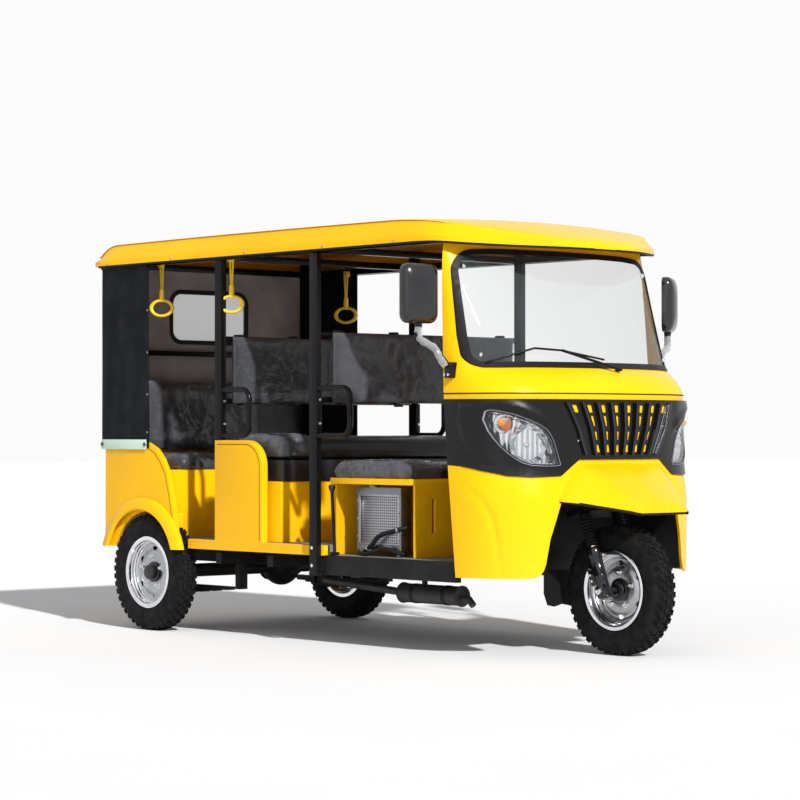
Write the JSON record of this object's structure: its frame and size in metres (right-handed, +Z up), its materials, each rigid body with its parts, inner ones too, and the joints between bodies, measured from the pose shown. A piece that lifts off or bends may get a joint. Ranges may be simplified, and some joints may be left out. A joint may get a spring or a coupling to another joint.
{
  "type": "motorized passenger tricycle",
  "caption": "Open-sided three-wheeled motor taxi with a closed nose, roof, transverse benches and one steered front wheel.",
  "frame": {"origin": "on the ground, in the middle of the vehicle's length and width", "axes": "+X forwards along the vehicle, +Y to its left, +Z up"},
  "size_m": [3.168, 1.706, 1.87],
  "materials": {
    "black_paint": "satin black paint",
    "floor_sheet": "chequered sheet, dusty",
    "yellow_paint": "gloss warm yellow paint",
    "rubber_seal": "matt black",
    "windscreen": "clear",
    "black_plastic": "fine grained",
    "lamp_chrome": "polished",
    "lamp_lens": "clear, ribbed",
    "grey_lining": "coated cloth",
    "clear_sheet": "flexible clear sheet",
    "black_canvas": "coated canvas",
    "black_vinyl": "vinyl under clear film",
    "radiator_core": "finned core in a dark frame",
    "engine_casting": "cast",
    "exhaust_steel": "darkened",
    "black_iron": "painted black",
    "yellow_plastic": "moulded",
    "gloss_black": "moulded",
    "red_lens": "clear red",
    "grip_rubber": "ribbed",
    "tyre_rubber": "block tread",
    "rim_steel": "plated steel"
  },
  "bodies": {
    "body": {"chassis_frame": "black_paint", "floor_deck": "floor_sheet", "side_panels": "yellow_paint", "rear_body": "yellow_paint", "cab_cowl": "yellow_paint", "windscreen_frame": "yellow_paint", "windscreen_seal": "rubber_seal", "windscreen_glass": "windscreen", "front_mask": "black_plastic", "grille": "black_plastic", "headlamp_bowls": "lamp_chrome", "headlamp_lenses": "lamp_lens", "front_mudguard": "yellow_paint", "front_bulkhead": "black_plastic", "mud_flap": "rubber_seal", "roof_shell": "yellow_paint", "side_frames": "black_paint", "cross_frames": "black_paint", "rear_wall": "grey_lining", "rear_window": "clear_sheet", "rear_curtains": "black_canvas", "rear_seat_base": "yellow_paint", "rear_seat_cushion": "black_vinyl", "rear_seat_back": "black_vinyl", "middle_seat_base": "yellow_paint", "middle_seat_cushion": "black_vinyl", "driver_seat_base": "yellow_paint", "driver_seat_cushion": "black_vinyl", "backrest_pads": "black_vinyl", "radiator": "radiator_core", "engine": "engine_casting", "exhaust": "exhaust_steel", "rear_axle": "black_iron", "leaf_springs": "black_iron", "hand_loops": "yellow_plastic", "mirror_arms": "black_paint", "mirrors": "gloss_black", "wiper": "black_paint", "tail_lamps": "red_lens", "control_levers": "black_paint"},
    "steering": {"handlebar": "black_paint", "handlebar_grips": "grip_rubber", "front_fork": "black_iron"},
    "front_wheel": {"front_tyre": "tyre_rubber", "front_rim": "rim_steel"},
    "rear_wheel_right": {"rear_tyre_right": "tyre_rubber", "rear_rim_right": "rim_steel"},
    "rear_wheel_left": {"rear_tyre_left": "tyre_rubber", "rear_rim_left": "rim_steel"}
  },
  "joints": [
    {"name": "steering_turn", "type": "hinge", "parent": "body", "child": "steering", "pos_m": [1.26671, 0, 0.25961], "axis": [-0.342, 0, 0.9397], "range_deg": [-38, 38]},
    {"name": "front_wheel_spin", "type": "hinge", "parent": "steering", "child": "front_wheel", "pos_m": [1.309, 0, 0.275], "axis": [0, 1, 0], "continuous": true},
    {"name": "rear_right_spin", "type": "hinge", "parent": "body", "child": "rear_wheel_right", "pos_m": [-1.155, -0.61, 0.275], "axis": [0, 1, 0], "continuous": true},
    {"name": "rear_left_spin", "type": "hinge", "parent": "body", "child": "rear_wheel_left", "pos_m": [-1.155, 0.61, 0.275], "axis": [0, 1, 0], "continuous": true}
  ]
}
